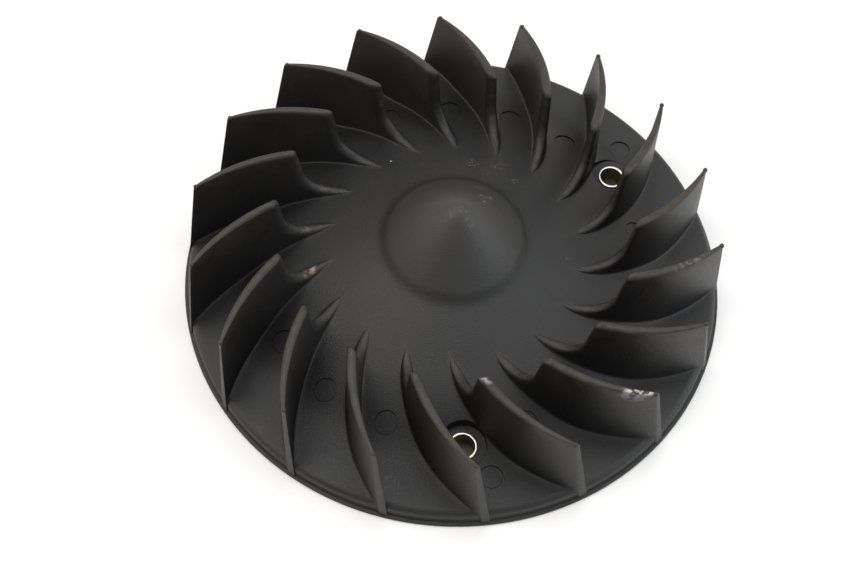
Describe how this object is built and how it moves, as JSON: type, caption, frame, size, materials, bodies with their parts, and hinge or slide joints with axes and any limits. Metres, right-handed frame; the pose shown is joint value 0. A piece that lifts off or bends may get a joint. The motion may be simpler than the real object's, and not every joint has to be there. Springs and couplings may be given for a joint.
{
  "type": "engine cooling fan wheel",
  "caption": "Black plastic cooling-fan wheel with curved blades on a closed back plate, a conical nose and metal sleeves for its fixing bolts.",
  "frame": {"origin": "on the wheel's axis, in the plane that the rim and the sleeves rest on", "axes": "+Z along the axis, out through the nose; seen from +Z the blades lean back anticlockwise as they run outwards; one sleeve lies on the -Y side"},
  "size_m": [0.159, 0.159, 0.0335],
  "materials": {
    "moulding": "matte black moulding with a fine grain",
    "sleeve": "bright zinc-plated steel"
  },
  "bodies": {
    "root": {"back_plate": "moulding", "blade_1": "moulding", "blade_2": "moulding", "blade_3": "moulding", "blade_4": "moulding", "blade_5": "moulding", "blade_6": "moulding", "blade_7": "moulding", "blade_8": "moulding", "blade_9": "moulding", "blade_10": "moulding", "blade_11": "moulding", "blade_12": "moulding", "blade_13": "moulding", "blade_14": "moulding", "blade_15": "moulding", "blade_16": "moulding", "blade_17": "moulding", "blade_18": "moulding", "sleeve_1": "sleeve", "sleeve_2": "sleeve", "sleeve_3": "sleeve"}
  },
  "joints": []
}
